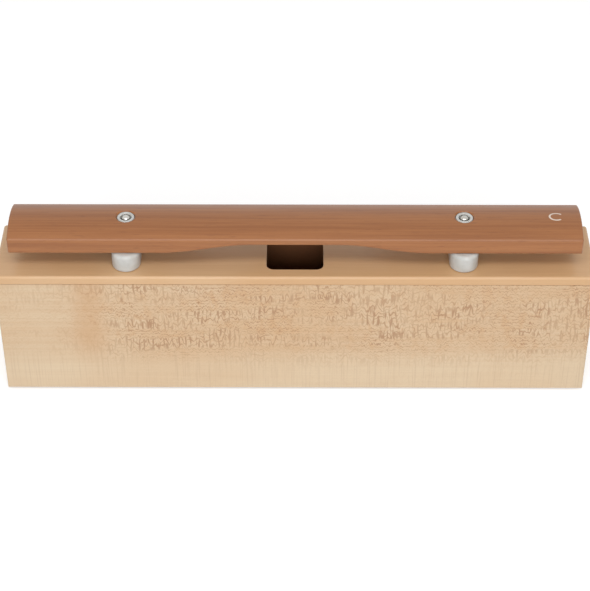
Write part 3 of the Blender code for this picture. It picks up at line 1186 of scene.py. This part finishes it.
@dataclass
class Suspension:
    """What the bar floats on: saddles, guide pins and bushes."""

    saddle_crown: float = 0.0026
    saddle_crown_steps: int = 10
    saddle_base: float = 0.0008
    saddle_base_steps: int = 5
    saddle_end_steps: int = 24
    pin_dome: float = 0.0012
    pin_dome_steps: int = 14
    pin_groove_below: float = 0.0007
    pin_groove_share: float = 0.04
    pin_point: float = 0.0012
    pin_point_inset: float = 0.0006
    bush_wall: float = 0.0020
    bush_lip: float = 0.0007
    stations: StationTree = field(default_factory=StationTree)

    def spacing(self) -> float:
        """Distance between the two nodes of the bar."""
        return span("right_guide_pin")[2].x - span("left_guide_pin")[2].x

    def build_saddles(self, soft: bpy.types.Material) -> None:
        """Two oblong pads with soft upper edges and a bore for the pin.

        Args:
            soft: The pads' finish.
        """
        low, high, _ = span("left_saddle")
        half_x, half_y = (high.x - low.x) / 2, (high.y - low.y) / 2
        base, crown = self.saddle_base, self.saddle_crown
        foot = arc(0, low.z + base, base, -90, 0, self.saddle_base_steps)
        top = arc(0, high.z - crown, crown, 0, 90, self.saddle_crown_steps)
        sides = [(base - x, z) for x, z in foot] + [(crown - x, z) for x, z in top]
        levels = []
        for inset, z in sides:
            end = half_x - inset
            outline = rounded_rectangle(end, half_y - inset, end - WELD * 10, self.saddle_end_steps)
            levels.append((z, outline))
        pad = new_object("pad", stacked("pad", levels))
        bore = node_radius("left_guide_pin") + RUNNING_GAP
        cut(pad, [turned_cutter("pad_bore", bore_profile(bore, low.z, high.z), Vector())])
        mesh = pad.data
        bpy.data.objects.remove(pad)
        obj = self.stations.repeat("saddle_pads", mesh, soft, self.spacing())
        place_piece(obj, soft, BOX_BODY, "silicone", "left_saddle", "right_saddle")

    def build_pins(self, metal: bpy.types.Material) -> None:
        """Two plated pins with a domed head over a fine turned groove.

        Args:
            metal: The pins' finish.
        """
        low, high, _ = span("left_guide_pin")
        radius = node_radius("left_guide_pin")
        dome = (radius**2 + self.pin_dome**2) / (2 * self.pin_dome)
        edge = math.degrees(math.acos(radius / dome))
        groove = high.z - self.pin_dome - self.pin_groove_below
        depth = radius * self.pin_groove_share
        head = arc(0, high.z - dome, dome, 90, edge, self.pin_dome_steps)
        profile = [(0.0, high.z), *head[1:], (radius, groove), (radius - depth, groove - depth)]
        profile += [(radius - depth, groove - 3 * depth), (radius, groove - 4 * depth)]
        profile += [(radius, low.z + self.pin_point), (radius - self.pin_point_inset, low.z)]
        profile += [(0.0, low.z)]
        obj = self.stations.repeat("plated_pins", turned("pin", profile), metal, self.spacing())
        place_piece(obj, metal, BOX_BODY, "pin_metal", "left_guide_pin", "right_guide_pin")

    def build_bushes(self, soft: bpy.types.Material) -> None:
        """Two soft sleeves with rounded lips.

        Args:
            soft: The sleeves' finish.
        """
        low, high, _ = span("left_bush")
        outer = node_radius("left_bush")
        inner, lip = outer - self.bush_wall, self.bush_lip
        profile = arc(outer - lip, high.z - lip, lip, 90, 0)
        profile += [(outer, low.z), (inner, low.z)]
        profile += arc(inner + lip, high.z - lip, lip, 180, 90)
        mesh = turned("bush", profile, closed=True)
        obj = self.stations.repeat("bar_bushes", mesh, soft, self.spacing())
        place_piece(obj, soft, BAR_BODY, "silicone", "left_bush", "right_bush")


@dataclass
class BoxResonator:
    """The wooden box: its lid, walls, ends, bottom, pin blocks and feet."""

    lid_radius: float = 0.0020
    lid_segments: int = 8
    bore_steps: int = 40
    hole_length: float = 0.038
    hole_width: float = 0.040
    hole_corner: float = 0.005
    hole_corner_steps: int = 10
    hole_ease: float = 0.0006
    hole_ease_turn: float = 80.0
    hole_ease_steps: int = 5
    foot_rim: float = 0.0005
    foot_rim_steps: int = 5

    def build_lid(self, wood: bpy.types.Material) -> None:
        """The top board with rounded edges, its sound hole and the pins' bores.

        Args:
            wood: The lid's finish.
        """
        low, high, middle = span("top_panel")
        bm = bmesh.new()
        bmesh.ops.create_cube(bm, size=1)
        bmesh.ops.scale(bm, vec=high - low, verts=bm.verts)
        bmesh.ops.translate(bm, vec=middle, verts=bm.verts)
        rounded = [e for e in bm.edges if all(v.co.z > middle.z for v in e.verts)]
        rounded += [e for e in bm.edges if abs(e.verts[0].co.z - e.verts[1].co.z) > WELD]
        rounding = {"offset": self.lid_radius, "segments": self.lid_segments, "profile": 0.5}
        bmesh.ops.bevel(bm, geom=rounded, offset_type="OFFSET", affect="EDGES", **rounding)
        obj = new_object("box_lid", mesh_from(bm, "box_lid"))
        cut(obj, [self._hole_cutter(low.z, high.z), *self._bore_cutters(low.z, high.z)])
        place_piece(obj, wood, BOX_BODY, "box_wood", "top_panel")

    def _hole_cutter(self, low: float, high: float) -> bpy.types.Object:
        """The sound hole's shape, widening over its softened upper edge.

        Args:
            low: The lid's underside.
            high: The lid's top.

        Returns:
            The shape.
        """
        ease = self.hole_ease
        curve = arc(0, high - ease, ease, 0, self.hole_ease_turn, self.hole_ease_steps)
        wider = [(0.0, low - CUT_PAST), *[(ease - x, z) for x, z in curve]]
        wider += [(ease + CUT_PAST, high + CUT_PAST)]
        levels = []
        for more, z in wider:
            half_x, half_y = self.hole_length / 2 + more, self.hole_width / 2 + more
            corner = self.hole_corner + more
            levels.append((z, rounded_rectangle(half_x, half_y, corner, self.hole_corner_steps)))
        return new_object("sound_hole_shape", stacked("sound_hole_shape", levels))

    def _bore_cutters(self, low: float, high: float) -> list[bpy.types.Object]:
        """The bores for the two pins.

        Args:
            low: The lid's underside.
            high: The lid's top.

        Returns:
            One shape for each pin.
        """
        cutters = []
        for side in SIDES:
            pin = side + "_guide_pin"
            profile = bore_profile(node_radius(pin) + RUNNING_GAP, low, high)
            cutters.append(turned_cutter("bore_" + side, profile, span(pin)[2], self.bore_steps))
        return cutters

    def dress_walls(self, finishes: dict[str, bpy.types.Material]) -> None:
        """Gives each CAD board that stays its finish.

        Args:
            finishes: The finish by node name.
        """
        for node, material in finishes.items():
            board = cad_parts[node]
            board.data.materials.clear()
            board.data.materials.append(material)
            log.info("%s: carried over, in %s", node, material.name)

    def build_feet(self, rubber: bpy.types.Material, stations: StationTree) -> None:
        """Four thin round feet.

        Args:
            rubber: The feet's finish.
            stations: The tree that repeats a piece.
        """
        low, high, near = span("front_left_foot")
        far = span("rear_right_foot")[2]
        radius, rim = node_radius("front_left_foot"), self.foot_rim
        profile = [(0.0, high.z), (radius - rim / 2, high.z), (radius, high.z - rim / 2)]
        profile += arc(radius - rim, low.z + rim, rim, 0, -90, self.foot_rim_steps)
        profile += [(0.0, low.z)]
        mesh = turned("foot", profile)
        obj = stations.repeat("rubber_feet", mesh, rubber, far.x - near.x, far.y - near.y)
        place_piece(obj, rubber, BOX_BODY, "foot_rubber", *FEET)


# The studio


@dataclass(frozen=True)
class Softbox:
    """A rectangular lamp aimed at the object."""

    name: str
    place: Point
    size: tuple[float, float]
    power: float
    aim: Point = (0.0, 0.0, 0.07)

    def build(self) -> None:
        """Hangs the lamp and turns it to the object."""
        data = bpy.data.lights.new(self.name, "AREA")
        data.shape = "RECTANGLE"
        data.size, data.size_y = self.size
        data.energy = self.power
        lamp = bpy.data.objects.new(self.name, data)
        lamp.location = self.place
        towards = Vector(self.aim) - Vector(self.place)
        lamp.rotation_euler = towards.to_track_quat("-Z", "Y").to_euler()
        bpy.context.scene.collection.objects.link(lamp)


@dataclass(frozen=True)
class Studio:
    """The pale floor, the soft light and the camera at the photograph's angle."""

    front: Softbox = Softbox("front_softbox", (0.0, -1.7, 0.85), (1.5, 0.8), 13.0)
    top: Softbox = Softbox("top_softbox", (0.0, -0.75, 1.55), (1.4, 0.5), 10.0)
    camera_place: Point = (0.0040, -0.9540, 0.8485)
    camera_turn: Point = (50.483, 0.038, 0.212)
    lens: float = 109.45
    floor_size: float = 12.0
    floor_tone: Colour = (0.8, 0.8, 0.8, 1.0)
    floor_glow: float = 0.42
    sky: float = 0.50

    def build(self) -> None:
        """Makes floor, world, lamps and camera."""
        self._floor()
        self._world()
        self.front.build()
        self.top.build()
        self._camera()
        bpy.context.scene.view_settings.view_transform = "Standard"
        log.info("studio: floor, world, lamps and camera")

    def _seen(self, g: Graph) -> Socket:
        """A switch for rays that come from the camera directly, by gloss or through glass.

        Args:
            g: The material's or world's graph.

        Returns:
            1 for such rays and 0 for others.
        """
        path = g.add("ShaderNodeLightPath").outputs
        seen = g.math("MAXIMUM", path["Is Camera Ray"], path["Is Glossy Ray"])
        return g.math("MAXIMUM", seen, path["Is Transmission Ray"])

    def _floor(self) -> None:
        """A matt pale floor that glows a little to the camera, so that it reads as white."""
        bm = bmesh.new()
        bmesh.ops.create_grid(bm, x_segments=1, y_segments=1, size=self.floor_size / 2)
        floor = new_object("studio_floor", mesh_from(bm, "studio_floor"))
        material = bpy.data.materials.new("studio_floor")
        material.use_nodes = True
        g = Graph(material.node_tree)
        g.tree.nodes.clear()
        matt = g.add("ShaderNodeBsdfDiffuse", {"Color": self.floor_tone})
        glow = g.times(self._seen(g), self.floor_glow)
        light = g.add("ShaderNodeEmission", {"Color": WHITE, "Strength": glow})
        both = g.add("ShaderNodeAddShader", {0: matt.outputs[0], 1: light.outputs[0]})
        g.add("ShaderNodeOutputMaterial", {"Surface": both.outputs[0]})
        floor.data.materials.append(material)

    def _world(self) -> None:
        """Even white light from all round, and plain white where the camera sees past the floor."""
        world = bpy.data.worlds.new("studio_world")
        world.use_nodes = True
        bpy.context.scene.world = world
        g = Graph(world.node_tree)
        strength = g.spread(self._seen(g), 0.0, 1.0, self.sky, 1.0)
        g.feed(world.node_tree.nodes["Background"], {"Color": WHITE, "Strength": strength})

    def _camera(self) -> None:
        """The camera, at the place and angle worked out from the box's edges."""
        data = bpy.data.cameras.new("camera")
        data.lens = self.lens
        camera = bpy.data.objects.new("camera", data)
        camera.location = self.camera_place
        camera.rotation_euler = [math.radians(angle) for angle in self.camera_turn]
        bpy.context.scene.collection.objects.link(camera)
        bpy.context.scene.camera = camera


def main() -> None:
    """Builds the object and the studio."""
    logging.basicConfig(level=logging.INFO, format="%(message)s")
    effects = Effects()
    quartered = QuarteredWood("quartered_wood", roughness=0.42).build(effects)
    lid_tones = {"base": screen(208, 167, 122), "pale": screen(215, 181, 142)}
    flat_sawn = PaleWood("flat_sawn_wood", roughness=0.40, **lid_tones).build(effects)
    upright = PaleWood("end_wood", roughness=0.42, grain=Grain.ALONG_Z).build(effects)
    crosswise = PaleWood("block_wood", roughness=0.55, grain=Grain.ALONG_Y).build(effects)
    bar_wood = BarWood("bar_wood", roughness=0.36).build(effects)
    silicone = Silicone("milky_silicone", roughness=0.34).build(effects)
    nickel = Plain("nickel_plate", roughness=0.16, smudges=0.08, metallic=1.0).build(effects)
    dark = {"colour": screen(58, 56, 54), "other": screen(70, 68, 65)}
    rubber = Plain("foot_rubber", roughness=0.7, **dark).build(effects)

    box = BoxResonator()
    box.build_lid(flat_sawn)
    walls = {"front_panel": quartered, "rear_panel": quartered, "bottom_panel": flat_sawn}
    walls |= {"left_end_panel": upright, "right_end_panel": upright}
    walls |= {"left_pin_block": crosswise, "right_pin_block": crosswise}
    box.dress_walls(walls)

    suspension = Suspension()
    suspension.build_saddles(silicone)
    suspension.build_pins(nickel)
    suspension.build_bushes(silicone)
    box.build_feet(rubber, suspension.stations)

    ToneBar().build(bar_wood)

    Studio().build()


if __name__ == "__main__":
    main()
